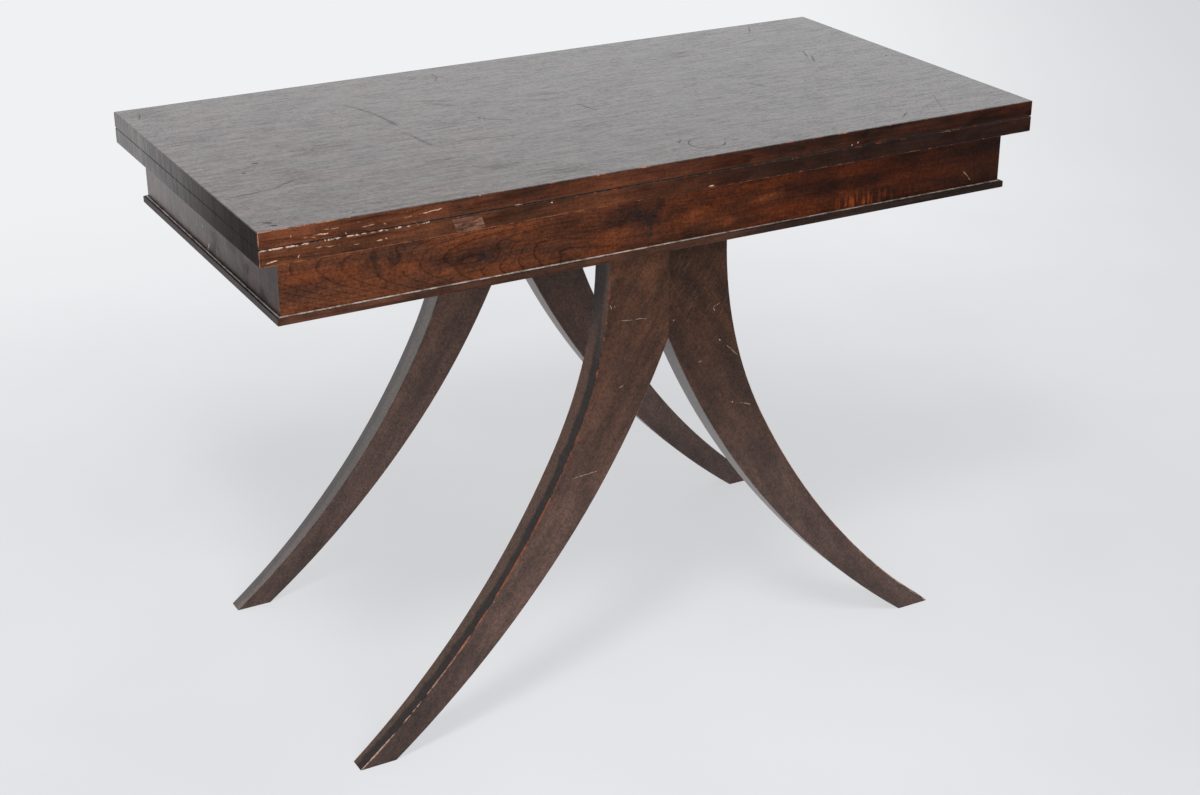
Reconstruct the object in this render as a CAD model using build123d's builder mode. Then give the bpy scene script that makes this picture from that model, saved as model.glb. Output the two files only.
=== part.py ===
"""Folding card table with a top that turns a quarter turn and then folds open.

Two equal leaves lie face to face on a shallow frame of mitred aprons. The frame stands on two
pairs of sabre legs, one pair under each long apron. To use the table, the closed top turns a
quarter turn on its pivot, and the upper leaf folds over on the hinges along its long edge and
comes down on the other half of the frame.

Millimetres. The origin is on the floor under the middle of the closed top. X runs along the
long side, Y from front to back and Z up. The hinges are at the back.
"""
import os
from math import cos, radians, sin

from build123d import *

os.makedirs("parts", exist_ok=True)

# Table and leaves
table_height = 737.0
leaf_length = 1066.0
leaf_width = 533.0
leaf_thickness = 20.3
leaf_gap = 0.5
leaf_edge_radius = 1.5

# Frame of four mitred aprons
apron_height = 78.7
apron_thickness = 22.0
apron_inset_end = 28.0
apron_inset_side = 24.5

# Bead moulding glued round the foot of the aprons
moulding_height = 10.0
moulding_projection = 5.3
moulding_land = 1.1
moulding_bead_radius = 1.5
moulding_quirk_depth = 1.4
moulding_edge_radius = 0.6

# Sabre legs, cut in pairs that butt on the middle of the long aprons
leg_thickness = 38.0
leg_setback = 3.0
leg_top_width = 83.3
leg_reach = 441.0
leg_tongue_height = 48.0
leg_taper_share = 0.729
leg_edge_chamfer = 1.0
foot_width = 50.0
foot_thickness = 24.0
crotch_drop = 119.0
crotch_half_angle = 22.5
outer_bend_reach_share = 0.167
outer_bend_height_share = 0.591
inner_bend_reach_share = 0.377
inner_bend_height_share = 0.488

# Dowels across the seam of each pair of legs
dowel_radius = 5.0
dowel_length = 40.0
dowel_height_shares = (0.25, 0.7)

# Inner woodwork of the frame
block_leg = 42.0
block_inset = 5.0
pivot_rail_width = 96.0
pivot_rail_thickness = 22.0
pivot_rail_lap = 12.0
cross_rail_width = 22.0
cross_rail_height = 48.0
cross_rail_housing = 6.0

# Pivot of the top
pivot_plate_side = 76.0
pivot_plate_thickness = 3.0
pivot_plate_corner = 5.0
pivot_plate_edge = 12.0
bolt_radius = 6.0
bolt_head_radius = 14.0
bolt_head_thickness = 4.0
bolt_tail = 4.0
bolt_chamfer = 1.0
washer_radius = 16.0
washer_thickness = 2.0
nut_width = 19.0
nut_thickness = 10.0
nut_chamfer_radius = 10.2

# Stop peg that ends the quarter turn at both ends
peg_radius = 8.0
peg_length = 20.0
peg_tenon = 11.0
peg_chamfer = 1.0

# Butt hinges along the back edge
hinge_length = 50.0
hinge_width = 28.0
hinge_plate_thickness = 1.5
hinge_edge_gap = 0.25
knuckle_radius = 3.0
knuckle_gap = 0.2
hinge_pin_radius = 1.3
hinge_end_inset = 150.0
hinge_screw_pitch = 30.0
hinge_screw_inset = 16.0

# Clearances
running_clearance = 0.06
fit_clearance = 0.2
stop_clearance = 0.3
knuckle_clearance = 0.5
drill_clearance = 0.05
drill_overrun = 1.0

# Countersunk screws: shank radius, head radius and length
hinge_screw = (1.6, 3.1, 13.0)
plate_screw = (2.1, 4.0, 14.0)
leg_screw = (2.4, 4.6, 32.0)
rail_screw = (2.4, 4.6, 38.0)
screw_angle = 90.0

# Levels
upper_leaf_bottom = table_height - leaf_thickness
lower_leaf_top = upper_leaf_bottom - leaf_gap
frame_top = lower_leaf_top - leaf_thickness
frame_bottom = frame_top - apron_height
hinge_level = lower_leaf_top + leaf_gap / 2
rail_bottom = frame_top - pivot_rail_thickness

# Plan sizes
frame_half_length = leaf_length / 2 - apron_inset_end
frame_half_width = leaf_width / 2 - apron_inset_side
inner_half_length = frame_half_length - apron_thickness
inner_half_width = frame_half_width - apron_thickness
hinge_line = leaf_width / 2 + hinge_edge_gap
leg_front = frame_half_width - leg_setback
leg_back = leg_front - leg_thickness

# A quarter turn about this point puts the hinge line across the middle of the frame
pivot_x = leaf_width / 4
pivot_y = leaf_width / 4

# The peg meets the back apron when the top is closed and the front apron when it is turned
peg_offset = inner_half_width - peg_radius - stop_clearance
peg_x = -peg_offset
peg_y = peg_offset

# Hinges: one near each end and one in the middle
hinge_places = {
    "left": hinge_end_inset - leaf_length / 2,
    "middle": 0.0,
    "right": leaf_length / 2 - hinge_end_inset,
}
knuckle_length = (hinge_length - 2 * knuckle_gap) / 3


def drill(seats, screw):
    """Countersunk holes for one kind of screw, cut in the part that is being built."""
    shank_radius, head_radius, length = screw
    with Locations(*seats):
        CounterSinkHole(
            radius=shank_radius + drill_clearance,
            counter_sink_radius=head_radius + drill_clearance,
            depth=length + drill_overrun,
            counter_sink_angle=screw_angle,
        )


def screw_set(seats, screw):
    """One countersunk screw on each seat, as separate solids of one part."""
    shank_radius, head_radius, length = screw
    at_top = (Align.CENTER, Align.CENTER, Align.MAX)
    with BuildPart() as screws:
        with Locations(*seats):
            Cylinder(shank_radius, length, align=at_top)
            Cone(shank_radius, head_radius, head_radius - shank_radius, align=at_top)
    return screws


def hinge_seats(middle, side):
    """Screw seats of one hinge plate: side -1 is the lower plate, 1 the upper plate."""
    face = hinge_level + side * leaf_gap / 2
    return [
        Plane(
            (middle + end * hinge_screw_pitch / 2, hinge_line - hinge_screw_inset, face),
            z_dir=(0, 0, -side),
        )
        for end in (-1, 1)
    ]


def let_in_hinges(side):
    """Recesses for the hinge plates, room for their knuckles, and the screw holes."""
    face = hinge_level + side * leaf_gap / 2
    recess_middle = hinge_line - (hinge_width + fit_clearance) / 2
    for middle in hinge_places.values():
        with Locations((middle, recess_middle, face)):
            Box(
                hinge_length + 2 * fit_clearance,
                hinge_width + fit_clearance,
                2 * hinge_plate_thickness,
                mode=Mode.SUBTRACT,
            )
        with Locations((middle, hinge_line, hinge_level)):
            Cylinder(
                knuckle_radius + knuckle_clearance,
                hinge_length + 2 * fit_clearance,
                rotation=(0, 90, 0),
                mode=Mode.SUBTRACT,
            )
        drill(hinge_seats(middle, side), hinge_screw)


# Upper leaf
with BuildPart() as upper_leaf:
    with BuildSketch(Plane.XY.offset(upper_leaf_bottom)):
        Rectangle(leaf_length, leaf_width)
    extrude(amount=leaf_thickness)
    fillet(upper_leaf.edges(), radius=leaf_edge_radius)
    let_in_hinges(1)
upper_leaf.part.label = "upper_leaf"
export_step(upper_leaf.part, "parts/upper_leaf.step")


# Lower leaf, with the pivot plate, the bolt head and the stop peg let into its underside
plate_corner_pitch = pivot_plate_side - 2 * pivot_plate_edge
plate_seats = [
    Plane(
        (pivot_x + x * plate_corner_pitch / 2, pivot_y + y * plate_corner_pitch / 2, frame_top),
        z_dir=(0, 0, -1),
    )
    for x in (-1, 1)
    for y in (-1, 1)
]

with BuildPart() as lower_leaf:
    with BuildSketch(Plane.XY.offset(frame_top)):
        Rectangle(leaf_length, leaf_width)
    extrude(amount=leaf_thickness)
    fillet(lower_leaf.edges(), radius=leaf_edge_radius)
    let_in_hinges(-1)
    with BuildSketch(Plane.XY.offset(frame_top)):
        with Locations((pivot_x, pivot_y)):
            RectangleRounded(pivot_plate_side, pivot_plate_side, pivot_plate_corner)
    extrude(amount=pivot_plate_thickness, mode=Mode.SUBTRACT)
    with BuildSketch(Plane.XY.offset(frame_top + pivot_plate_thickness)):
        with Locations((pivot_x, pivot_y)):
            Circle(bolt_head_radius + fit_clearance)
    extrude(amount=bolt_head_thickness, mode=Mode.SUBTRACT)
    with BuildSketch(Plane.XY.offset(frame_top)):
        with Locations((peg_x, peg_y)):
            Circle(peg_radius)
    extrude(amount=peg_tenon, mode=Mode.SUBTRACT)
    drill(plate_seats, plate_screw)
lower_leaf.part.label = "lower_leaf"
export_step(lower_leaf.part, "parts/lower_leaf.step")


# Butt hinges: the lower plate carries the two outer knuckles and the upper plate the middle one
def hinge_plate(middle, side):
    """One plate of a hinge with its knuckles and pin hole."""
    face = hinge_level + side * leaf_gap / 2
    pitch = knuckle_length + knuckle_gap
    own_knuckles = [-pitch, pitch] if side < 0 else [0]
    other_knuckles = [0] if side < 0 else [-pitch, pitch]
    on_face = (Align.CENTER, Align.MAX, Align.MAX if side < 0 else Align.MIN)
    with BuildPart() as plate:
        with Locations((middle, hinge_line, face)):
            Box(hinge_length, hinge_width, hinge_plate_thickness, align=on_face)
        with Locations(*[(middle + x, hinge_line, hinge_level) for x in other_knuckles]):
            Cylinder(
                knuckle_radius + stop_clearance,
                knuckle_length + 2 * knuckle_gap,
                rotation=(0, 90, 0),
                mode=Mode.SUBTRACT,
            )
        with Locations(*[(middle + x, hinge_line, hinge_level) for x in own_knuckles]):
            Cylinder(knuckle_radius, knuckle_length, rotation=(0, 90, 0))
        with Locations((middle, hinge_line, hinge_level)):
            Cylinder(
                hinge_pin_radius + running_clearance,
                hinge_length,
                rotation=(0, 90, 0),
                mode=Mode.SUBTRACT,
            )
        drill(hinge_seats(middle, side), hinge_screw)
    return plate


for place, middle in hinge_places.items():
    lower_plate = hinge_plate(middle, -1)
    lower_plate.part.label = f"{place}_hinge_lower_plate"
    export_step(lower_plate.part, f"parts/{place}_hinge_lower_plate.step")

    upper_plate = hinge_plate(middle, 1)
    upper_plate.part.label = f"{place}_hinge_upper_plate"
    export_step(upper_plate.part, f"parts/{place}_hinge_upper_plate.step")

    with BuildPart() as hinge_pin:
        with Locations((middle, hinge_line, hinge_level)):
            Cylinder(hinge_pin_radius, hinge_length, rotation=(0, 90, 0))
    hinge_pin.part.label = f"{place}_hinge_pin"
    export_step(hinge_pin.part, f"parts/{place}_hinge_pin.step")

for side, leaf_name in ((-1, "lower"), (1, "upper")):
    all_seats = [seat for middle in hinge_places.values() for seat in hinge_seats(middle, side)]
    hinge_screws = screw_set(all_seats, hinge_screw)
    hinge_screws.part.label = f"hinge_screws_{leaf_name}"
    export_step(hinge_screws.part, f"parts/hinge_screws_{leaf_name}.step")


# Pivot plate, flush with the underside of the lower leaf
with BuildPart() as pivot_plate:
    with BuildSketch(Plane.XY.offset(frame_top)):
        with Locations((pivot_x, pivot_y)):
            RectangleRounded(pivot_plate_side, pivot_plate_side, pivot_plate_corner)
            Circle(bolt_radius + drill_clearance, mode=Mode.SUBTRACT)
    extrude(amount=pivot_plate_thickness)
    drill(plate_seats, plate_screw)
pivot_plate.part.label = "pivot_plate"
export_step(pivot_plate.part, "parts/pivot_plate.step")

pivot_plate_screws = screw_set(plate_seats, plate_screw)
pivot_plate_screws.part.label = "pivot_plate_screws"
export_step(pivot_plate_screws.part, "parts/pivot_plate_screws.step")


# Pivot bolt: its head is held between the plate and the leaf, and it turns with the top
bolt_head_bottom = frame_top + pivot_plate_thickness
washer_top = rail_bottom - fit_clearance
nut_top = washer_top - washer_thickness
bolt_end = nut_top - nut_thickness - bolt_tail
with BuildPart() as pivot_bolt:
    with BuildSketch(Plane.XY.offset(bolt_head_bottom)):
        with Locations((pivot_x, pivot_y)):
            Circle(bolt_head_radius)
    extrude(amount=bolt_head_thickness)
    with BuildSketch(Plane.XY.offset(bolt_end)):
        with Locations((pivot_x, pivot_y)):
            Circle(bolt_radius)
    extrude(amount=bolt_head_bottom - bolt_end)
    chamfer(pivot_bolt.faces().sort_by(Axis.Z)[0].edges(), bolt_chamfer)
pivot_bolt.part.label = "pivot_bolt"
export_step(pivot_bolt.part, "parts/pivot_bolt.step")

with BuildPart() as pivot_washer:
    with BuildSketch(Plane.XY.offset(nut_top)):
        with Locations((pivot_x, pivot_y)):
            Circle(washer_radius)
            Circle(bolt_radius + fit_clearance, mode=Mode.SUBTRACT)
    extrude(amount=washer_thickness)
pivot_washer.part.label = "pivot_washer"
export_step(pivot_washer.part, "parts/pivot_washer.step")

# The nut's corners are turned off by a cone on its lower side
with BuildPart() as pivot_nut:
    with BuildSketch(Plane.XY.offset(nut_top - nut_thickness)):
        with Locations((pivot_x, pivot_y)):
            RegularPolygon(nut_width / 2, 6, major_radius=False)
    extrude(amount=nut_thickness)
    with Locations((pivot_x, pivot_y, nut_top - nut_thickness)):
        Cone(
            nut_chamfer_radius,
            nut_chamfer_radius + nut_thickness,
            nut_thickness,
            align=(Align.CENTER, Align.CENTER, Align.MIN),
            mode=Mode.INTERSECT,
        )
        Hole(bolt_radius + drill_clearance)
pivot_nut.part.label = "pivot_nut"
export_step(pivot_nut.part, "parts/pivot_nut.step")


# Stop peg, glued into the underside of the lower leaf
with BuildPart() as stop_peg:
    with BuildSketch(Plane.XY.offset(frame_top - peg_length)):
        with Locations((peg_x, peg_y)):
            Circle(peg_radius)
    extrude(amount=peg_length + peg_tenon)
    chamfer(stop_peg.edges().filter_by(GeomType.CIRCLE), peg_chamfer)
stop_peg.part.label = "stop_peg"
export_step(stop_peg.part, "parts/stop_peg.step")


# Screw seats of the frame: one at each end of the rail, and one in each leg tongue
rail_seat_y = inner_half_width + pivot_rail_lap / 2
rail_seats = [Plane((pivot_x, y * rail_seat_y, frame_top), z_dir=(0, 0, 1)) for y in (-1, 1)]
tongue_middle = frame_bottom + leg_tongue_height / 2
leg_seats = [
    Plane((x * leg_top_width / 2, y * leg_back, tongue_middle), z_dir=(0, -y, 0))
    for x in (-1, 1)
    for y in (-1, 1)
]


# Long aprons, mitred at the ends, notched for the pivot rail and housed for the cross rail
cross_rail_x = -pivot_x
with BuildPart() as front_apron:
    with BuildSketch(Plane.XY.offset(frame_bottom)):
        with BuildLine():
            Polyline(
                (-frame_half_length, -frame_half_width),
                (frame_half_length, -frame_half_width),
                (inner_half_length, -inner_half_width),
                (-inner_half_length, -inner_half_width),
                close=True,
            )
        make_face()
    extrude(amount=apron_height)
    with Locations((pivot_x, -inner_half_width, frame_top)):
        Box(
            pivot_rail_width,
            2 * pivot_rail_lap,
            pivot_rail_thickness,
            align=(Align.CENTER, Align.CENTER, Align.MAX),
            mode=Mode.SUBTRACT,
        )
    with Locations((cross_rail_x, -inner_half_width, frame_bottom)):
        Box(
            cross_rail_width,
            2 * cross_rail_housing,
            cross_rail_height,
            align=(Align.CENTER, Align.CENTER, Align.MIN),
            mode=Mode.SUBTRACT,
        )
    drill([seat for seat in rail_seats if seat.origin.Y < 0], rail_screw)
    drill([seat for seat in leg_seats if seat.origin.Y < 0], leg_screw)
front_apron.part.label = "front_apron"
export_step(front_apron.part, "parts/front_apron.step")

with BuildPart() as back_apron:
    mirror(front_apron.part, about=Plane.XZ)
back_apron.part.label = "back_apron"
export_step(back_apron.part, "parts/back_apron.step")


# End aprons
with BuildPart() as right_apron:
    with BuildSketch(Plane.XY.offset(frame_bottom)):
        with BuildLine():
            Polyline(
                (frame_half_length, -frame_half_width),
                (frame_half_length, frame_half_width),
                (inner_half_length, inner_half_width),
                (inner_half_length, -inner_half_width),
                close=True,
            )
        make_face()
    extrude(amount=apron_height)
right_apron.part.label = "right_apron"
export_step(right_apron.part, "parts/right_apron.step")

with BuildPart() as left_apron:
    mirror(right_apron.part, about=Plane.YZ)
left_apron.part.label = "left_apron"
export_step(left_apron.part, "parts/left_apron.step")


# Bead mouldings: a plain face, a quirk behind its top edge and a half-round bead by the apron
def moulding_strip(half_length, distance, turn):
    """A strip on the apron face that looks outward at the angle turn, mitred at both ends."""
    outward = Vector(sin(radians(turn)), -cos(radians(turn)), 0)
    along = Vector(cos(radians(turn)), sin(radians(turn)), 0)
    up = Vector(0, 0, 1)
    quirk_front = moulding_projection - moulding_land
    bead_width = 2 * moulding_bead_radius
    bead_foot = moulding_height - moulding_bead_radius
    quirk_floor = bead_foot - moulding_quirk_depth
    face_middle = outward * distance + up * frame_bottom
    with BuildPart() as strip:
        with BuildSketch(Plane(face_middle, x_dir=outward, z_dir=outward.cross(up))):
            with BuildLine():
                Polyline(
                    (0, bead_foot),
                    (0, 0),
                    (moulding_projection, 0),
                    (moulding_projection, bead_foot),
                    (quirk_front, bead_foot),
                    (quirk_front, quirk_floor),
                    (bead_width, quirk_floor),
                    (bead_width, bead_foot),
                )
                ThreePointArc(
                    (bead_width, bead_foot),
                    (moulding_bead_radius, moulding_height),
                    (0, bead_foot),
                )
            make_face()
        extrude(amount=half_length + moulding_projection, both=True)
        outer_edges = strip.edges().filter_by(
            lambda edge: edge.length > half_length
            and (edge.center() - face_middle).dot(outward) > quirk_front + moulding_land / 2
        )
        fillet(outer_edges, radius=moulding_edge_radius)
        for end in (-1, 1):
            mitre = Plane(face_middle + along * (end * half_length), z_dir=along * end - outward)
            split(bisect_by=mitre, keep=Keep.BOTTOM)
    return strip


mouldings = {
    "front_moulding": (frame_half_length, frame_half_width, 0),
    "right_moulding": (frame_half_width, frame_half_length, 90),
    "back_moulding": (frame_half_length, frame_half_width, 180),
    "left_moulding": (frame_half_width, frame_half_length, 270),
}
for name, (half_length, distance, turn) in mouldings.items():
    moulding = moulding_strip(half_length, distance, turn)
    moulding.part.label = name
    export_step(moulding.part, f"parts/{name}.step")


# Glue blocks in the corners of the frame
for y_name, y in (("front", -1), ("back", 1)):
    for x_name, x in (("left", -1), ("right", 1)):
        with BuildPart() as corner_block:
            with BuildSketch(Plane.XY.offset(frame_bottom + block_inset)):
                with BuildLine():
                    Polyline(
                        (x * inner_half_length, y * inner_half_width),
                        (x * (inner_half_length - block_leg), y * inner_half_width),
                        (x * inner_half_length, y * (inner_half_width - block_leg)),
                        close=True,
                    )
                make_face()
            extrude(amount=apron_height - 2 * block_inset)
        corner_block.part.label = f"{y_name}_{x_name}_corner_block"
        export_step(corner_block.part, f"parts/{y_name}_{x_name}_corner_block.step")


# Pivot rail: a flat board let into the top edges of the long aprons
with BuildPart() as pivot_rail:
    with BuildSketch(Plane.XY.offset(rail_bottom)):
        with Locations((pivot_x, 0)):
            Rectangle(pivot_rail_width, 2 * (inner_half_width + pivot_rail_lap))
        with Locations((pivot_x, pivot_y)):
            Circle(bolt_radius + running_clearance, mode=Mode.SUBTRACT)
    extrude(amount=pivot_rail_thickness)
    drill(rail_seats, rail_screw)
pivot_rail.part.label = "pivot_rail"
export_step(pivot_rail.part, "parts/pivot_rail.step")

rail_screws = screw_set(rail_seats, rail_screw)
rail_screws.part.label = "pivot_rail_screws"
export_step(rail_screws.part, "parts/pivot_rail_screws.step")


# Cross rail: a low board on edge, under the path of the stop peg
with BuildPart() as cross_rail:
    with BuildSketch(Plane.XY.offset(frame_bottom)):
        with Locations((cross_rail_x, 0)):
            Rectangle(cross_rail_width, 2 * (inner_half_width + cross_rail_housing))
    extrude(amount=cross_rail_height)
cross_rail.part.label = "cross_rail"
export_step(cross_rail.part, "parts/cross_rail.step")


# Sabre leg: the outline is seen from the front, and the side profile gives the taper and the
# tongue that rises behind the apron. The apron stands on the shoulder in front of the tongue.
tongue_top = frame_bottom + leg_tongue_height
crotch_height = frame_bottom - crotch_drop
leg_taper_height = frame_bottom * leg_taper_share
foot_inner = leg_reach - foot_width
outer_bend = (
    leg_top_width + (leg_reach - leg_top_width) * outer_bend_reach_share,
    frame_bottom * outer_bend_height_share,
)
inner_bend = (foot_inner * inner_bend_reach_share, crotch_height * inner_bend_height_share)
crotch_direction = (sin(radians(crotch_half_angle)), -cos(radians(crotch_half_angle)))
seam_middle_y = leg_front - leg_thickness / 2
dowel_heights = [crotch_height + crotch_drop * share for share in dowel_height_shares]

with BuildPart() as front_right_leg:
    with BuildSketch(Plane.XZ):
        with BuildLine():
            Polyline(
                (0, crotch_height),
                (0, tongue_top),
                (leg_top_width, tongue_top),
                (leg_top_width, frame_bottom),
            )
            outer_upper = TangentArc((leg_top_width, frame_bottom), outer_bend, tangent=(0, -1))
            TangentArc(outer_bend, (leg_reach, 0), tangent=outer_upper % 1)
            Line((leg_reach, 0), (foot_inner, 0))
            inner_upper = TangentArc((0, crotch_height), inner_bend, tangent=crotch_direction)
            TangentArc(inner_bend, (foot_inner, 0), tangent=inner_upper % 1)
        make_face()
    extrude(amount=leg_front)
    with BuildSketch(Plane.YZ):
        with BuildLine():
            Polyline(
                (foot_thickness - leg_front, 0),
                (-leg_front, 0),
                (-leg_front, frame_bottom),
                (-inner_half_width, frame_bottom),
                (-inner_half_width, tongue_top),
                (-leg_back, tongue_top),
                (-leg_back, leg_taper_height),
            )
            TangentArc(
                (-leg_back, leg_taper_height),
                (foot_thickness - leg_front, 0),
                tangent=(0, -1),
            )
        make_face()
    extrude(amount=leg_reach, mode=Mode.INTERSECT)
    curved_edges = front_right_leg.edges().filter_by(
        lambda edge: edge.geom_type != GeomType.LINE
        and edge.bounding_box().size.Z > leg_thickness
        and edge.bounding_box().size.X > leg_edge_chamfer
    )
    chamfer(curved_edges, leg_edge_chamfer)
    with Locations(*[(0, -seam_middle_y, height) for height in dowel_heights]):
        Cylinder(
            dowel_radius + drill_clearance,
            dowel_length + 2 * drill_overrun,
            rotation=(0, 90, 0),
            mode=Mode.SUBTRACT,
        )
    drill([seat for seat in leg_seats if seat.origin.X > 0 and seat.origin.Y < 0], leg_screw)
front_right_leg.part.label = "front_right_leg"
export_step(front_right_leg.part, "parts/front_right_leg.step")

with BuildPart() as front_left_leg:
    mirror(front_right_leg.part, about=Plane.YZ)
front_left_leg.part.label = "front_left_leg"
export_step(front_left_leg.part, "parts/front_left_leg.step")

with BuildPart() as back_right_leg:
    mirror(front_right_leg.part, about=Plane.XZ)
back_right_leg.part.label = "back_right_leg"
export_step(back_right_leg.part, "parts/back_right_leg.step")

with BuildPart() as back_left_leg:
    mirror(back_right_leg.part, about=Plane.YZ)
back_left_leg.part.label = "back_left_leg"
export_step(back_left_leg.part, "parts/back_left_leg.step")

leg_screws = screw_set(leg_seats, leg_screw)
leg_screws.part.label = "leg_screws"
export_step(leg_screws.part, "parts/leg_screws.step")

# Dowels across the seams of the two pairs
with BuildPart() as leg_dowels:
    with Locations(*[(0, y * seam_middle_y, height) for y in (-1, 1) for height in dowel_heights]):
        Cylinder(dowel_radius, dowel_length, rotation=(0, 90, 0))
leg_dowels.part.label = "leg_dowels"
export_step(leg_dowels.part, "parts/leg_dowels.step")
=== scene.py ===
# %% [markdown]
# # A folding card table in dark stained wood
# This lesson dresses the CAD model of a small swivel-top card table. Two leaves lie closed on a
# shallow frame, and four sabre legs carry it. The shapes are already right, so the lesson is
# about finish: stained walnut, a rubbed satin polish on the top, and the marks of long use.
# The imported model is loaded first.

# %% Load the imported table
from math import cos, radians, sin

import bpy
from mathutils import Matrix, Vector


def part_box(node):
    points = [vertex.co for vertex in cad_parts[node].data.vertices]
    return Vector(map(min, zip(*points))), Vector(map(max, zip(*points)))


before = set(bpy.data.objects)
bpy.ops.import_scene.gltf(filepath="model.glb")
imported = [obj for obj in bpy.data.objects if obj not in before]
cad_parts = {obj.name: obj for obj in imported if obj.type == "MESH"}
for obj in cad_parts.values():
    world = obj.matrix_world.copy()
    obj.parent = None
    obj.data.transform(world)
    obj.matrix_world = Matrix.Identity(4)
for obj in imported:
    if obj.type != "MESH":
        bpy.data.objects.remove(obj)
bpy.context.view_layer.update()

bpy.ops.object.select_all(action="DESELECT")

# %% [markdown]
# ## The camera
# The photograph was taken a little above the table, from its front left. The angles and the lens
# come from the corners of the top and the tips of the feet. Roll is almost nothing. The camera
# is turned with a matrix of three directions, because that can't be misread as a wrong order of
# turns.

# %% Camera
view_turn, view_drop, view_roll = 0.5033, 0.4217, -0.0011
forward = Vector(
    (sin(view_turn) * cos(view_drop), cos(view_turn) * cos(view_drop), -sin(view_drop)))
level_right = Vector((cos(view_turn), -sin(view_turn), 0))
level_up = level_right.cross(forward)
right = level_right * cos(view_roll) + level_up * sin(view_roll)
up = level_up * cos(view_roll) - level_right * sin(view_roll)

camera_place, lens_mm, sensor_mm = (-1.19493, -2.23135, 1.45866), 60.31, 36
bpy.ops.object.camera_add(location=camera_place)
camera = bpy.context.object
camera.name = "photo_camera"
camera.rotation_euler = Matrix((right, up, -forward)).transposed().to_euler()
camera.data.sensor_width = sensor_mm
camera.data.lens = lens_mm
bpy.context.scene.camera = camera
print("camera looks along", [round(value, 3) for value in forward])

# %% [markdown]
# ## Helpers for shader nodes
# Every finish here is made of nodes. Adding each node by hand takes many lines, so small helpers
# do it. They all add to the tree on the bench, which is set once when a material or a group is
# started, so the calls below read like plain arithmetic. One helper starts a node group, which
# is a finish effect with a name.

# %% Node helpers
bench = {}


def add_node(kind):
    """A new node of that kind in the tree on the bench."""
    return bench["tree"].nodes.new("ShaderNode" + kind)


def feed(socket, value):
    """Feeds a socket from another socket, or sets it to a plain value."""
    if isinstance(value, bpy.types.NodeSocket):
        socket.id_data.links.new(value, socket)
    else:
        socket.default_value = value


def give(node, **values):
    """Feeds the inputs of a node by name, with _ for a space, and gives its outputs."""
    for label, value in values.items():
        feed(node.inputs[label.replace("_", " ")], value)
    return node.outputs


def sum_up(operation, *values, clamp=False):
    """One Math node."""
    node = add_node("Math")
    node.operation = operation
    node.use_clamp = clamp
    for socket, value in zip(node.inputs, values):
        feed(socket, value)
    return node.outputs[0]


def chain(operation, first, *others):
    """Math nodes of one kind over any number of values, from left to right."""
    for other in others:
        first = sum_up(operation, first, other)
    return first


def product(*factors):
    """All the factors multiplied."""
    return chain("MULTIPLY", *factors)


def total(*terms):
    """All the terms added."""
    return chain("ADD", *terms)


def largest(*values):
    """The largest value."""
    return chain("MAXIMUM", *values)


def smallest(*values):
    """The smallest value."""
    return chain("MINIMUM", *values)


def minus(first, second, clamp=False):
    """The first value without the second."""
    return sum_up("SUBTRACT", first, second, clamp=clamp)


def scaled(value, factor, shift):
    """The value times a factor, plus a shift."""
    return sum_up("MULTIPLY_ADD", value, factor, shift)


def absolute(value):
    """The value without its sign."""
    return sum_up("ABSOLUTE", value)


def apart(first, second):
    """How far two values are from each other."""
    return absolute(minus(first, second))


def aim(operation, *values):
    """One Vector Math node: its vector, or its number for length and distance."""
    node = add_node("VectorMath")
    node.operation = operation
    for socket, value in zip(node.inputs, values):
        feed(socket, value)
    return node.outputs["Value" if operation in ("LENGTH", "DISTANCE") else "Vector"]


def split_up(vector):
    """The three numbers of a vector."""
    node = add_node("SeparateXYZ")
    feed(node.inputs[0], vector)
    return node.outputs


def ramp(value, start, end, low=0.0, high=1.0):
    """A smooth step from low to high while value goes from start to end."""
    node = add_node("MapRange")
    node.interpolation_type = "SMOOTHSTEP"
    return give(node, Value=value, From_Min=start, From_Max=end, To_Min=low, To_Max=high)["Result"]


def fall(value, start, end):
    """A smooth step from 1 down to 0."""
    return ramp(value, start, end, 1.0, 0.0)


def noise(vector, scale, detail=3.0, roughness=0.55):
    """A Noise Texture's grey value. The scale is one number, or three to draw the pattern out."""
    if isinstance(scale, tuple):
        vector, scale = aim("MULTIPLY", vector, scale), 1.0
    return give(
        add_node("TexNoise"), Vector=vector, Scale=scale, Detail=detail, Roughness=roughness)["Fac"]


def blend(share, first, second, mode="MIX"):
    """One Mix Color node."""
    node = add_node("Mix")
    node.data_type = "RGBA"
    node.blend_type = mode
    for index, given in ((0, share), (6, first), (7, second)):
        feed(node.inputs[index], given)
    return node.outputs[2]


def new_group(name, inputs, outputs):
    """An empty node group on the bench. inputs is {label: default}, outputs is {label: kind}."""
    tree = bench["tree"] = bpy.data.node_groups.new(name, "ShaderNodeTree")
    for label, value in inputs.items():
        kind = {3: "NodeSocketVector", 4: "NodeSocketColor"}.get(
            len(value) if isinstance(value, tuple) else 1, "NodeSocketFloat")
        tree.interface.new_socket(label, in_out="INPUT", socket_type=kind).default_value = value
    for label, kind in outputs.items():
        tree.interface.new_socket(label, in_out="OUTPUT", socket_type="NodeSocket" + kind)
    print("group:", name, "with", ", ".join(inputs))
    return tree, tree.nodes.new("NodeGroupInput").outputs, tree.nodes.new("NodeGroupOutput").inputs


def mix_shaders(output, share, first, second):
    """Mixes two shaders into the output of the tree on the bench."""
    node = add_node("MixShader")
    for socket, value in zip(node.inputs, (share, first.outputs[0], second.outputs[0])):
        feed(socket, value)
    feed(bench["tree"].nodes[output].inputs["Surface"], node.outputs[0])


def use_group(group, **values):
    """A node group placed in the tree on the bench."""
    node = add_node("Group")
    node.node_tree = group
    return give(node, **values)


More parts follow.
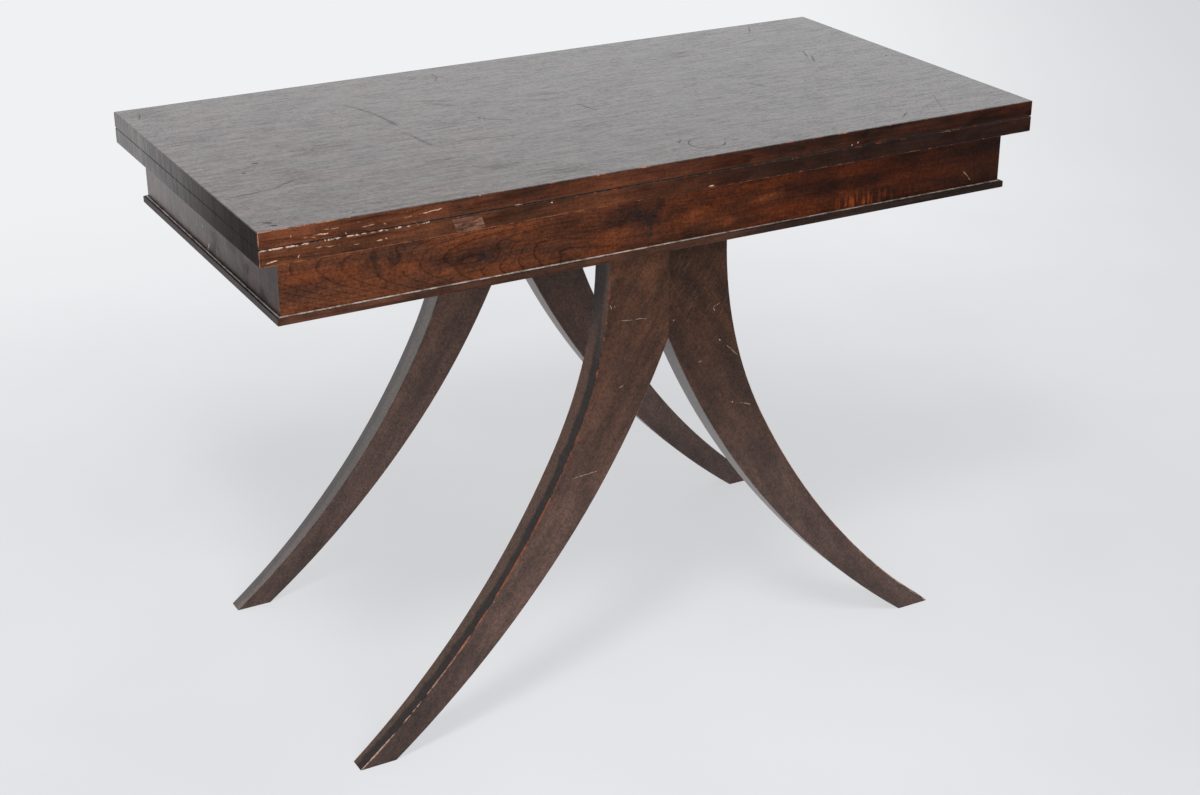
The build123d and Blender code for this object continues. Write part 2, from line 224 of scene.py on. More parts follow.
def tone(red, green, blue):
    """A colour read off the photograph as 0 to 255, turned into Blender's linear values."""
    parts = [value / 255 for value in (red, green, blue)]
    return tuple(p / 12.92 if p < 0.04045 else ((p + 0.055) / 1.055) ** 2.4 for p in parts) + (1,)


origin = (0.0, 0.0, 0.0)
print("tone(128, 128, 128) is", [round(value, 3) for value in tone(128, 128, 128)])

# %% [markdown]
# ## Wood figure
# A board is cut out of a trunk of nested rings. Where the saw runs across the rings, their edges
# show as straight lines, and where it runs along them they show as long arches. One three
# dimensional field gives both: the distance from the trunk's middle line, the pith. The pith
# leans a little against the board and wanders a little, so no two lines run parallel. Fine
# fibres run along the grain, and short dark pores lie between them.

# %% The wood figure group
figure_inputs = {
    "Vector": origin, "Pith": origin, "Lean": 0.02, "Spacing": 0.006, "Wander": 0.006, "Pull": 0.0,
    "Sharp": 6.0}
figure_group, given, made = new_group(
    "wood figure", figure_inputs,
    {"Rings": "Float", "Fibres": "Float", "Pores": "Float", "Cloud": "Float"},
)
place = aim("SUBTRACT", given["Vector"], given["Pith"])
along, across, through = split_up(place)
drift = noise(place, (2.5, 9.0, 9.0), 3.0)
drift = product(minus(drift, 0.5), 4.0, given["Wander"])
leaning = scaled(along, given["Lean"], through)
radius = sum_up("SQRT", total(sum_up("POWER", across, 2.0), sum_up("POWER", leaning, 2.0)))
radius = total(radius, drift, given["Pull"])
turn = sum_up("FRACT", sum_up("DIVIDE", radius, given["Spacing"]))
late_wood = sum_up("POWER", turn, given["Sharp"])
early_side = fall(turn, 0.0, sum_up("DIVIDE", 0.5, given["Sharp"]))
feed(made["Rings"], largest(late_wood, early_side))
feed(made["Fibres"], noise(place, (13.0, 380.0, 380.0), 3.0, 0.6))
feed(made["Pores"], ramp(noise(place, (60.0, 800.0, 800.0), 1.0), 0.62, 0.72))
feed(made["Cloud"], noise(place, (8.0, 34.0, 34.0), 4.0))

# %% [markdown]
# A knot is where a branch left the trunk, and the rings swell round it. A soft hill does that:
# added to the ring distance it bends the lines. The same hill also places soft stains and glows.
# Hills, strokes and the depth of relief are given in millimetres, everything else in metres.

# %% The knot group
knot_group, given, made = new_group(
    "knot",
    {"Vector": origin, "Centre": origin, "Stretch": (1.0, 1.0, 1.0), "Size": 0.02},
    {"Hill": "Float"},
)
offset = aim("SUBTRACT", given["Vector"], given["Centre"])
far = aim("LENGTH", aim("DIVIDE", offset, given["Stretch"]))
ratio = sum_up("DIVIDE", far, given["Size"])
feed(made["Hill"], sum_up("EXPONENT", product(sum_up("POWER", ratio, 2.0), -1.0)))


def in_metres(place):
    """A place given in millimetres."""
    return tuple(value / 1000 for value in place)


def hill(where, centre, stretch, size):
    """A soft hill in millimetres: 1 at the centre, nearly 0 two sizes away."""
    return use_group(
        knot_group, Vector=where, Centre=in_metres(centre), Stretch=stretch,
        Size=size / 1000)["Hill"]


# %% [markdown]
# ## Stain over figure
# The wood was stained nearly black-brown and left redder where it was rubbed. The group
# takes a light and a dark tone, mixes them by the slow cloud of the figure, and then darkens the
# late wood, the fibres and the pores. It also gives the relief of the grain for a Bump node.

# %% The stained wood group
stain_group, given, made = new_group(
    "stained wood",
    {**figure_inputs, "Light": (0.1, 0.04, 0.02, 1.0), "Dark": (0.03, 0.015, 0.01, 1.0),
     "Ring Depth": 0.4, "Fibre Depth": 0.3, "Pore Depth": 0.3},
    {"Color": "Color", "Relief": "Float"},
)
figure = use_group(figure_group, **{label: given[label] for label in figure_inputs})
body = blend(ramp(figure["Cloud"], 0.3, 0.7), given["Dark"], given["Light"])
shade = product(figure["Rings"], given["Ring Depth"])
fibre_shade = product(fall(figure["Fibres"], 0.3, 0.7), given["Fibre Depth"])
pore_shade = product(figure["Pores"], given["Pore Depth"])
shade = smallest(total(shade, fibre_shade, pore_shade), 0.9)
darker = blend(1.0, body, (0.22, 0.2, 0.2, 1.0), "MULTIPLY")
feed(made["Color"], blend(shade, body, darker))
feed(made["Relief"], minus(figure["Fibres"], product(figure["Pores"], 0.6)))

# %% [markdown]
# ## Patina
# Old polish isn't even. It has a fine speckle where the pores took more stain, a slow mottle
# where hands and cloths wore it, and cool dark patches of grime. They lie over any colour, so
# they are a group of their own.

# %% The patina group
patina_group, given, made = new_group(
    "patina",
    {"Vector": origin, "Color": (0.1, 0.1, 0.1, 1.0), "Speckle": 0.25, "Mottle": 0.3,
     "Grime": 0.3},
    {"Color": "Color", "Grime": "Float"},
)
speckle = minus(noise(given["Vector"], 300.0, 3.0, 0.8), 0.5)
mottle = minus(noise(given["Vector"], 60.0, 5.0, 0.65), 0.5)
level = scaled(speckle, product(given["Speckle"], 4.0), 1.0)
level = scaled(mottle, product(given["Mottle"], 4.0), level)
level = largest(level, 0.25)
uneven = blend(1.0, given["Color"], level, "MULTIPLY")
grime = ramp(noise(given["Vector"], 13.0, 6.0, 0.62), 0.52, 0.7)
grime = product(grime, given["Grime"])
feed(made["Color"], blend(grime, uneven, (0.017, 0.016, 0.0165, 1.0)))
feed(made["Grime"], grime)

# %% [markdown]
# ## Worn arrises
# An arris is the sharp line where two faces meet. Hands and cloths wear the stain off it first,
# in a broken line. On a piece with square faces, a point on the surface has three distances to
# the sides of its box. The smallest is nearly zero, and the next is the distance to the nearest
# arris. Noise then breaks the line.

# %% The arris groups
arris_group, given, made = new_group(
    "distance to arris",
    {"Vector": origin, "Middle": origin, "Half": (1.0, 1.0, 1.0)},
    {"Distance": "Float"},
)
from_middle = aim("ABSOLUTE", aim("SUBTRACT", given["Vector"], given["Middle"]))
inside = aim("SUBTRACT", given["Half"], from_middle)
first, second, third = split_up(aim("ABSOLUTE", inside))
lesser = smallest(first, second)
greater = largest(first, second)
feed(made["Distance"], largest(lesser, smallest(greater, third)))

wear_group, given, made = new_group(
    "broken line of wear",
    {"Vector": origin, "Distance": 0.0, "Width": 0.0015, "Amount": 0.5, "Patch": 45.0},
    {"Mask": "Float"},
)
patches = ramp(noise(given["Vector"], given["Patch"], 5.0, 0.7), 0.3, 0.7)
bare_from = minus(1.0, given["Amount"])
bare = ramp(patches, minus(bare_from, 0.1), total(bare_from, 0.1))
reach = product(given["Width"], total(patches, 0.4))
near = fall(given["Distance"], product(reach, 0.5), reach)
feed(made["Mask"], product(bare, near))


def worn_line(where, first, second, width, amount, patch=45.0):
    """Wear along one line of a piece. first and second are (coordinate socket, its value there)."""
    gap = largest(apart(*first), apart(*second))
    return use_group(
        wear_group, Vector=where, Distance=gap, Width=width, Amount=amount, Patch=patch)["Mask"]


# %% [markdown]
# ## Scratches
# Each scratch in the photograph is a short stroke that tapers at its ends, so it is drawn as a
# very thin ellipse: the way from its start to a point and on to its end is hardly longer than
# the scratch itself. A real stroke isn't ruled. A group of its own shakes the coordinates a
# little and says where a stroke is thin, and it is placed once for many strokes.

# %% The scratch groups
shaky_group, given, made = new_group(
    "shaky hand", {"Vector": origin}, {"Vector": "Vector", "Thin": "Float"})
wobble = give(add_node("TexNoise"), Vector=given["Vector"], Scale=120.0)["Color"]
shake = aim("SUBTRACT", wobble, (0.5, 0.5, 0.5))
shake = aim("MULTIPLY", shake, (0.003, 0.003, 0.003))
feed(made["Vector"], aim("ADD", shake, given["Vector"]))
feed(made["Thin"], ramp(noise(given["Vector"], 230.0, 3.0, 0.7), 0.4, 0.65))

scratch_group, given, made = new_group(
    "scratch",
    {"Vector": origin, "Start": origin, "End": (1.0, 0.0, 0.0), "Width": 0.001},
    {"Detour": "Float"},
)
length = aim("DISTANCE", given["Start"], given["End"])
widest = sum_up(
    "SQRT", total(product(length, length), product(given["Width"], given["Width"], 4.0)))
way = total(
    aim("DISTANCE", given["Vector"], given["Start"]),
    aim("DISTANCE", given["Vector"], given["End"]))
feed(made["Detour"], sum_up("DIVIDE", minus(way, length), minus(widest, length)))


def strokes(hand, face, width, *lines, breaks=0.6):
    """Scratches of one half width on one face, in one mask. A face is the number of its axis and
    its place there. Each line is a run of points on the face. All is in millimetres."""
    axis, level = face
    least = 9.0
    for line in lines:
        points = [(*point[:axis], level, *point[axis:]) for point in line]
        for start, end in zip(points, points[1:]):
            stroke = use_group(
                scratch_group, Vector=hand["Vector"], Width=width / 1000, Start=in_metres(start),
                End=in_metres(end))
            least = smallest(least, stroke["Detour"])
    rim = scaled(hand["Thin"], -breaks, 1.0)
    return fall(least, product(rim, 0.2), rim)


# %% [markdown]
# ## A material with a polish
# All the stained pieces share one layout: a Principled BSDF, object coordinates, and a Bump node
# for the grain. The polish is a thin clear coat that lies over the stain. Where the coat is
# strong, a face mirrors the pale room and looks grey at a low angle, as the top does here.

# %% A start for every material
weak_mirror = 0.12


def new_finish(name, rough, coat_rough=0.3):
    """A material on the bench. Gives the material, its Principled BSDF and the coordinates."""
    material = bpy.data.materials.new(name)
    material.use_nodes = True
    bench["tree"] = material.node_tree
    shader = material.node_tree.nodes["Principled BSDF"]
    give(shader, Roughness=rough, Coat_Roughness=coat_rough, Specular_IOR_Level=weak_mirror)
    return material, shader, add_node("TexCoord").outputs["Object"]


def new_hand(where):
    """The shaken coordinates that all the scratches of one material share."""
    return use_group(shaky_group, Vector=where)


def age(shader, where, colour, speckle, mottle, grime):
    """Patina over a colour, which then is the colour of the material."""
    patina = use_group(
        patina_group, Vector=where, Color=colour, Speckle=speckle, Mottle=mottle, Grime=grime)
    give(shader, Base_Color=patina["Color"])
    return patina


def emboss(shader, relief, depth):
    """A Bump node of that depth in millimetres."""
    bump = give(add_node("Bump"), Distance=depth / 1000, Strength=1.0, Height=relief)
    give(shader, Normal=bump["Normal"])


def turned(where, axis, angle):
    """Coordinates turned about one axis, for wood whose grain doesn't run along X."""
    turns = [radians(angle) if letter == axis else 0.0 for letter in "XYZ"]
    return give(add_node("Mapping"), Vector=where, Rotation=turns)[0]


def dress(material, *names):
    """Puts a material on CAD pieces, whose own meshes stay as they are."""
    for name in names:
        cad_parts[name].material_slots[0].material = material
    print(material.name, "on", ", ".join(names))


bare_wood = tone(164, 106, 72)
pale_wood = tone(205, 168, 140)
faint_wood = tone(186, 150, 126)
corner_wood = tone(168, 118, 100)
black_grime = tone(22, 19, 18)
thin_wear = 0.0011

# %% [markdown]
# ## What the two leaves share
# The leaves are twin boards. Their broad faces carry the polish. Their long edges are redder,
# and a painted falloff of light makes them paler at the left and darker towards the right.
# Their ends are end grain, which drinks stain, so they are nearly black, with a painted grey
# reflection that grows towards the back, and rubbed duller towards the front. All masks come
# from the place on the board, so they stay on the wood when the top turns and folds.

# %% Leaf wood
leaf_low, leaf_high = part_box("upper_leaf")
leaf_half = (leaf_high - leaf_low) / 2
front_y, left_x = leaf_low.y, leaf_low.x
top_face, leaf_front = (2, leaf_high.z * 1000), (1, -266)
skin = (0.0013, 0.0006)  # a broad face begins and is full this far below its surface
print("upper leaf half sizes:", [round(value, 4) for value in leaf_half])


def leaf_wood(shader, where, board, warmth):
    """Stained wood of a leaf. Gives its colour, masks, fine grain and plain coordinates."""
    low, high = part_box(board)
    middle = (low + high) / 2
    across, along_y, height = split_up(where)
    # painted falloff of light: the edge tones go from light at the left to dark at the right
    painted_light_falloff = ramp(across, left_x, -left_x)
    light = blend(painted_light_falloff, tone(118 * warmth, 68, 45), tone(84 * warmth, 42, 28))
    dark = blend(painted_light_falloff, tone(72 * warmth, 43, 30), tone(40 * warmth, 24, 18))
    wood = use_group(
        stain_group, Vector=where, Pith=(0.1, 0.05, middle.z - 0.12), Lean=0.05, Spacing=0.009,
        Wander=0.02, Light=light, Dark=dark, Ring_Depth=0.4, Fibre_Depth=0.45, Pore_Depth=0.35)
    broad = ramp(apart(height, middle.z), leaf_half.z - skin[0], leaf_half.z - skin[1])
    end = ramp(absolute(across), leaf_half.x - 0.0012, leaf_half.x - 0.0004)
    calm = blend(0.82, wood["Color"], tone(55, 49, 45))
    fine_grain = total(noise(where, 230.0, 4.0, 0.85), noise(where, (22.0, 240.0, 1.0), 4.0, 0.8))
    fine_grain = minus(fine_grain, 1.0)
    calm = blend(1.0, calm, scaled(fine_grain, -2.1, 1.0), "MULTIPLY")
    colour = blend(broad, wood["Color"], calm)
    saw_marks = noise(where, (1.0, 300.0, 22.0), 3.0)
    sawn = ramp(saw_marks, 0.3, 0.7)
    end_tone = blend(sawn, tone(26, 22, 21), tone(52, 44, 40))
    # painted reflection: the end grain turns paler grey towards the back
    end_reflection_tone = blend(sawn, tone(60, 53, 50), tone(92, 85, 80))
    end_tone = blend(ramp(along_y, -0.15, 0.27), end_tone, end_reflection_tone)
    colour = blend(end, colour, end_tone)
    slow = ramp(noise(where, (9.0, 1.0, 30.0), 3.0), 0.3, 0.7, 0.85, 1.25)
    colour = blend(minus(1.0, broad), colour, blend(1.0, colour, slow, "MULTIPLY"))
    give(shader, Roughness=ramp(end, 0.0, 1.0, 0.5, 0.85))
    end_shine = product(end, ramp(along_y, -0.24, 0.22), ramp(saw_marks, 0.3, 0.7, 0.65, 1.0))
    return wood, colour, broad, end_shine, fine_grain, (across, along_y, height)


def edge_wear(where, board, colour, amount):
    """A thin red-brown rub along the long arrises of a board."""
    low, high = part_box(board)
    arris = use_group(
        arris_group, Vector=where, Middle=tuple((low + high) / 2), Half=tuple((high - low) / 2))
    rub = use_group(
        wear_group, Vector=where, Distance=arris["Distance"], Width=thin_wear, Amount=amount,
        Patch=60.0)
    long_edge = fall(absolute(split_up(where)[0]), leaf_half.x - 0.004, leaf_half.x - 0.002)
    return blend(product(rub["Mask"], long_edge), colour, tone(112, 58, 38))


def finish_leaf(board, shader, where, relief, colour, mottle, grime, coat):
    """The wear of the front left corner and of the arrises, then patina, coat and relief."""
    across, along_y, _ = split_up(where)
    worn_corner = worn_line(where, (along_y, front_y), (across, left_x), thin_wear, 0.9)
    colour = edge_wear(where, board, blend(worn_corner, colour, corner_wood), 0.22)
    age(shader, where, colour, 0.4, mottle, grime)
    give(shader, Coat_Weight=coat)
    emboss(shader, relief, depth=0.05)


# %% [markdown]
# ## The upper leaf
# Its top is the face that everyone sees: grey with the mirrored room, and calm. Look closer and
# it is full of small events. Fine dark lines follow the grain, smoky patches lie to the left, two
# diagonal scuffs cross the left half, and a wet glass left a ring near the front. Each of them
# breaks the polish, so it takes shine away and lets the dark stain show.

# %% Upper leaf
material, shader, where = new_finish("upper leaf polish", 0.5, coat_rough=0.27)
wood, colour, broad, end_shine, fine_grain, (across, along_y, height) = leaf_wood(
    shader, where, "upper_leaf", 1.0)
hand = new_hand(where)

grain = noise(where, (7.0, 130.0, 1.0), 5.0, 0.65)
hairlines = fall(apart(grain, 0.5), 0.0, 0.03)
hairlines = product(hairlines, ramp(noise(where, 14.0, 4.0), 0.42, 0.62))
smoke = ramp(noise(where, (9.0, 22.0, 1.0), 6.0, 0.7), 0.5, 0.85, 0.0, 0.7)
for centre, size, stretch in (
    ((-355, -12), 22, 2.0), ((-414, -102), 20, 1.6), ((-505, 235), 22, 1.2),
    ((-500, 95), 18, 1.2), ((-262, -128), 14, 1.8), ((-185, -178), 13, 2.2),
    ((-135, -235), 15, 2.6), ((245, 165), 20, 1.2), ((520, -225), 22, 1.0),
):
    patch = hill(where, (*centre, top_face[1]), (stretch, 1.0, 1.0), size)
    smoke = largest(smoke, product(patch, total(grain, 0.3)))

soft_scuffs = strokes(
    hand, top_face, 7.0, ((-264, 152), (-250, 125), (-243, 88), (-239, 36)),
    ((-246, 3), (-240, -21), (-236, -67)), ((-169, 111), (-138, 77)), ((-230, -165), (-203, -188)),
    ((-165, -215), (-122, -247)), breaks=0.8)
fine_scuffs = strokes(
    hand, top_face, 1.8, ((-257, 140), (-243, 88), (-238, 34)), ((-242, -12), (-236, -67)),
    ((-140, 223), (-124, 227)), ((-99, 239), (-99, 219), (-110, 200)), ((-179, 125), (-124, 98)),
    ((-126, 2), (-97, -19)), ((5, 14), (13, -33)), ((-521, 82), (-500, 83)),
    ((-516, 213), (-506, 240)), ((-528, -141), (-465, -132), (-430, -111)),
    ((253, -10), (268, -41)), ((354, 170), (403, 186)), ((409, 222), (426, 252)),
    ((419, 99), (400, 58)), ((414, 71), (394, 32)), ((334, -250), (357, -230)),
    ((30, -206), (43, -190)), ((94, -224), (108, -227)), ((-229, -61), (-114, -79)))
black_specks = strokes(
    hand, top_face, 2.4, ((-452, -29), (-446, -33)), ((-475, -60), (-474, -62)),
    ((-516, -238), (-507, -243)), ((-512, -250), (-506, -254)), ((-135, 15), (-133, 13)),
    ((-130, 9), (-129, 7)), ((-417, -252), (-416, -253)), ((329, -38), (330, -39)),
    ((397, -196), (398, -197)), ((503, 15), (504, 14)), breaks=0.3)
hairline = strokes(hand, top_face, 0.9, ((444, -165), (397, -260)), breaks=0.3)
glass_place, glass_radius = (0.0625, -0.219, leaf_high.z), 0.0225
from_ring = apart(aim("DISTANCE", where, glass_place), glass_radius)
glass_ring = product(
    fall(from_ring, 0.0003, 0.0013), ramp(noise(where, 55.0, 3.0), 0.4, 0.5),
    ramp(height, leaf_high.z - 0.004, leaf_high.z - 0.002))
marks = largest(
    product(soft_scuffs, 0.22), product(fine_scuffs, 0.55), product(hairline, 0.4),
    product(glass_ring, 0.75), black_specks)
dull = largest(marks, product(smoke, 0.24), product(hairlines, 0.2))
corner_haze = ramp(total(across, along_y), -0.8, 0.1, 0.1, 0.0)
dull = total(dull, corner_haze, scaled(fine_grain, 1.6, 0.09))
shine = product(broad, minus(1.0, dull, clamp=True))
colour = blend(product(marks, broad), colour, black_grime)

scratches = strokes(
    hand, leaf_front, 0.9, ((-480, 724.6), (-444, 722.4)), ((-496, 729), (-495.5, 724.5)),
    ((-366, 726), (-340, 727.4), (-315, 729)), ((254, 720.4), (256, 722.6)),
    ((245, 718.8), (247, 720.6)), ((-191, 724), (-186, 722)), ((-224, 717.8), (-214, 717.4)),
    breaks=0.3)
faint_scratches = strokes(
    hand, leaf_front, 0.8, ((-482, 722.5), (-464, 720.8)), ((-531, 722), (-524, 720.3)),
    ((-421, 723.6), (-390, 723.9), (-369, 723)), ((-363, 719.8), (-334, 718)),
    ((-458, 727.8), (-436, 727)), ((-403, 724.6), (-380, 722.4)), ((-417, 730.4), (-414.6, 728.6)),
    ((-432.5, 720.6), (-430, 718.4)), ((516, 728.8), (518, 728.6)), ((440, 728), (441, 727.8)),
    breaks=0.3)
colour = blend(product(faint_scratches, 0.6), colour, faint_wood)
colour = blend(scratches, colour, pale_wood)
worn_top = worn_line(
    where, (along_y, front_y), (height, leaf_high.z), thin_wear,
    ramp(across, -0.47, -0.40, 0.7, 0.16))
colour = blend(worn_top, colour, bare_wood)
coat = largest(shine, end_shine)
finish_leaf("upper_leaf", shader, where, wood["Relief"], colour, 0.25, 0.3, coat)
dress(material, "upper_leaf")

# %% [markdown]
# ## The lower leaf
# It hides under the upper leaf when the table is closed, and only its edges show. They took the
# most knocks: scratches near the left corner, a patch rubbed by something with teeth, and a pale
# broken line along the arris where the leaves meet. Its underside was never polished.

# %% Lower leaf
material, shader, where = new_finish("lower leaf polish", 0.5, coat_rough=0.27)
wood, colour, broad, end_shine, fine_grain, (across, along_y, height) = leaf_wood(
    shader, where, "lower_leaf", 0.97)
hand = new_hand(where)
lower_low, lower_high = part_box("lower_leaf")
scratches = strokes(
    hand, leaf_front, 1.1, ((-526, 700.8), (-508, 702.4)), ((-489, 701), (-486.5, 704)),
    ((-448, 708.4), (-442, 706.6)), ((-397, 704), (-388, 704.6)), ((-385.5, 706), (-383, 705.8)),
    ((33.5, 698.3), (45, 699.4)), ((-178, 713), (-175, 712.9)), breaks=0.4)
faint_scratches = strokes(
    hand, leaf_front, 0.8, ((-471, 709.6), (-438, 706.8)), ((-473, 703), (-460, 702)),
    ((-423, 704.8), (-415, 705)), ((-410, 703), (-397, 702.4)), ((-376, 706), (-373, 705.4)),
    ((383, 715), (409, 715.3)), ((262, 713.2), (263, 713)), ((505, 711), (506, 710.8)), breaks=0.3)
rub_lines = noise(where, (60.0, 1.0, 420.0), 3.0)
slanted = scaled(height, 0.35, across)
rub_left, rub_right, rub_top = (-0.0545, -0.0525), (-0.0180, -0.0165), (0.7125, 0.7145)
rubbed = product(
    ramp(slanted, *rub_left), fall(slanted, *rub_right), fall(height, *rub_top),
    fall(along_y, front_y + 0.001, front_y + 0.002), ramp(rub_lines, 0.36, 0.6, 0.15, 1.0))
# painted shade: the edges darken towards the right, where the light falls off
leaf_shade_right = product(minus(1.0, broad), ramp(across, -0.05, 0.12, 0.0, 0.45))
colour = blend(leaf_shade_right, colour, tone(38, 27, 23))
colour = blend(product(rubbed, 0.5), colour, tone(160, 118, 98))
colour = blend(product(faint_scratches, 0.6), colour, faint_wood)
colour = blend(scratches, colour, pale_wood)
worn_seam = worn_line(
    where, (along_y, front_y), (height, lower_high.z - 0.0008), 0.001,
    ramp(across, -0.42, -0.29, 0.48, 0.02), 150.0)
worn_foot = worn_line(
    where, (along_y, front_y), (height, lower_low.z), 0.0014, ramp(across, -0.30, -0.06, 0.8, 0.3),
    60.0)
colour = blend(worn_seam, colour, tone(190, 164, 148))
colour = blend(worn_foot, colour, tone(168, 104, 70))
set_in = largest(minus(absolute(across), leaf_half.x), minus(absolute(along_y), leaf_half.y))
playing_face = product(
    ramp(height, lower_high.z - skin[0], lower_high.z - skin[1]), fall(set_in, -0.0025, -0.0015),
    scaled(fine_grain, -1.6, 0.91))
coat = largest(playing_face, end_shine)
finish_leaf("lower_leaf", shader, where, wood["Relief"], colour, 0.28, 0.4, coat)
dress(material, "lower_leaf")

# %% [markdown]
# ## The aprons
# The long aprons have the liveliest wood of the table. At the left the figure shows clearly:
# thin dark lines that swell round a pair of knots. In the middle a big dark knot has stained the
# wood round it, and to the right the stain glows orange where it is thin. Light is painted in
# too: the tones fall off from the left to a painted shade at the right end, and the top band
# under the overhang of the leaf is painted lighter.

# %% Long aprons
apron_face, end_face = (1, -242), (0, -505)


def apron_hill(where, along, height_mm, stretch, size):
    """A hill drawn out along the front apron, and deep, so that it goes through the board."""
    return hill(where, (along, apron_face[1], height_mm), (stretch, 8.0, 1.0), size)


material, shader, where = new_finish("long apron stain", 0.5, coat_rough=0.35)
across, along_y, height = split_up(where)
hand = new_hand(where)
# painted falloff of light from the left, in the stain tones below
painted_light_falloff = ramp(across, -0.42, 0.35)
pull = product(smallest(across, -0.14), -0.065)
for along, height_mm, stretch, size, swell in (
    (-366, 668, 1.8, 13, 2.6), (-253, 652, 2.8, 12, 3.4), (-170, 656, 1.6, 16, -2.2),
):
    pull = scaled(apron_hill(where, along, height_mm, stretch, size), swell / 1000, pull)

soft_stain = strokes(
    hand, apron_face, 7.0, ((-391, 684), (-388, 667), (-382, 648)),
    ((-371, 674), (-366, 663), (-360, 675)), ((-262, 654), (-240, 650)), ((-202, 672), (-197, 671)),
    ((-10, 683), (-24, 672), (-30, 652), (-31, 636)), ((-56, 676), (-40, 664), (-30, 650)),
    breaks=0.5)
hard_stain = strokes(
    hand, apron_face, 2.4, ((-371, 673), (-371, 666), (-366, 662), (-361, 666), (-360, 674)),
    ((-260, 656), (-253, 651), (-244, 649)), ((-261, 649), (-247, 654)), ((-29, 656), (-28, 644)),
    breaks=0.5)
wood = use_group(
    stain_group, Vector=where, Pith=(0.0, -0.36, 0.61), Lean=0.147, Spacing=0.002, Wander=0.0012,
    Sharp=13.0, Pull=pull, Light=blend(painted_light_falloff, tone(122, 68, 41), tone(98, 43, 17)),
    Dark=blend(painted_light_falloff, tone(78, 50, 38), tone(38, 21, 14)), Fibre_Depth=0.4, Pore_Depth=0.35,
    Ring_Depth=product(ramp(across, -0.2, 0.1, 0.75, 0.2), ramp(along_y, -0.2, 0.2, 1.0, 0.35)))
smudge = hill(where, (-40, apron_face[1], 664), (1.0, 8.0, 1.1), 34)
# painted light: the top band of the apron under the overhang of the leaf is lightened, more at the
# left
painted_light_apron_top = ramp(height, 0.655, 0.69, 1.0, ramp(across, -0.42, 0.35, 1.6, 1.1))
colour = blend(1.0, wood["Color"], painted_light_apron_top, "MULTIPLY")
glow = 0.0
for along, height_mm, stretch, size in (
    (-478, 668, 2.2, 9), (-424, 664, 2.0, 8), (-380, 658, 1.2, 7), (-350, 662, 2.0, 8),
    (-300, 641, 3.0, 6), (-72, 651, 4.0, 7), (-10, 666, 1.0, 6), (36, 658, 3.6, 8),
    (132, 662, 4.0, 8), (70, 640, 3.0, 7),
):
    glow = largest(glow, apron_hill(hand["Vector"], along, height_mm, stretch, size))
wisps = ramp(noise(where, (22.0, 1.0, 110.0), 4.0, 0.65), 0.35, 0.65, 0.2, 1.0)
colour = blend(product(glow, wisps, 0.6), colour, tone(146, 76, 40))
colour = blend(product(smudge, 0.4), colour, tone(40, 33, 32))
colour = blend(product(soft_stain, 0.42), colour, tone(38, 35, 36))
# painted shade: the right end of the apron is darkened
apron_shade_right = ramp(across, 0.30, 0.48)
colour = blend(product(apron_shade_right, 0.55), colour, tone(38, 24, 19))
flame = ramp(noise(where, (230.0, 1.0, 26.0), 2.0), 0.45, 0.7)
flame = product(flame, apron_hill(where, 285, 634, 3.6, 11))
colour = blend(product(flame, 0.7), colour, tone(156, 74, 34))
colour = blend(product(hard_stain, 0.45), colour, tone(30, 32, 36))
scratches = strokes(
    hand, apron_face, 0.8, ((446, 648), (459, 633)), ((251, 649), (252, 648.6)),
    ((329, 627), (330, 626.6)), ((-173, 661), (-172, 660)))
colour = blend(product(scratches, 0.8), colour, tone(186, 150, 124))
inner_side = ramp(absolute(along_y), 0.2203, 0.2207, 0.8, 0.0)
colour = blend(inner_side, colour, tone(74, 54, 42))
age(shader, where, colour, speckle=0.62, mottle=0.28, grime=0.14)
give(shader, Coat_Weight=0.15)
emboss(shader, wood["Relief"], depth=0.07)
dress(material, "front_apron", "back_apron")

# %% [markdown]
# The end aprons are calmer and greyer, with a little shine left towards the back, and a
# painted shade darkens their top band under the leaf. Near the front corner the figure makes
# a small whorl. Someone once splashed paint on the left one.

# %% End aprons
material, shader, where = new_finish("end apron stain", 0.55)
_, along_y, height = split_up(where)
hand = new_hand(where)
whorl = hill(where, (end_face[1], -210, 655), (8.0, 1.0, 1.6), 20)
wood = use_group(
    stain_group, Vector=turned(where, "Z", 90), Pith=(0.0, 0.56, 0.65), Lean=0.02, Spacing=0.006,
    Wander=0.007, Pull=product(whorl, 0.03), Light=tone(92, 66, 56), Dark=tone(60, 43, 37),
    Ring_Depth=0.35, Fibre_Depth=0.45, Pore_Depth=0.35)
splashes = strokes(
    hand, end_face, 1.6, ((44, 648), (43, 647.4)), ((17, 654), (16, 653.4)),
    ((-4, 638), (2, 631), (5, 624)), breaks=0.2)
hatch = ramp(noise(where, (1.0, 420.0, 30.0), 3.0, 0.7), 0.3, 0.7, 0.78, 1.22)
colour = blend(1.0, wood["Color"], hatch, "MULTIPLY")
# painted shade under the leaf: the top band of the end apron is darkened
shade_under_leaf = ramp(height, 0.665, 0.692, 0.0, 0.45)
colour = blend(shade_under_leaf, colour, tone(44, 33, 30))
colour = blend(splashes, colour, tone(196, 186, 180))
patina = age(shader, where, colour, speckle=0.4, mottle=0.35, grime=0.5)
shine = minus(ramp(along_y, -0.25, 0.22, 0.2, 0.85), product(patina["Grime"], 0.8))
give(shader, Coat_Weight=product(shine, hatch))
emboss(shader, wood["Relief"], depth=0.07)
dress(material, "left_apron", "right_apron")

# %% [markdown]
# ## The mouldings
# A plain face, a dark groove and a small bead, cut from the same wood. Cloths polish the bead,
# so it carries the coat, and its thin bright line of light is a painted highlight in its colour.
# Wax and dust fill the groove behind it.

# %% Mouldings
_, moulding_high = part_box("front_moulding")
bead_foot = moulding_high.z - 0.0015


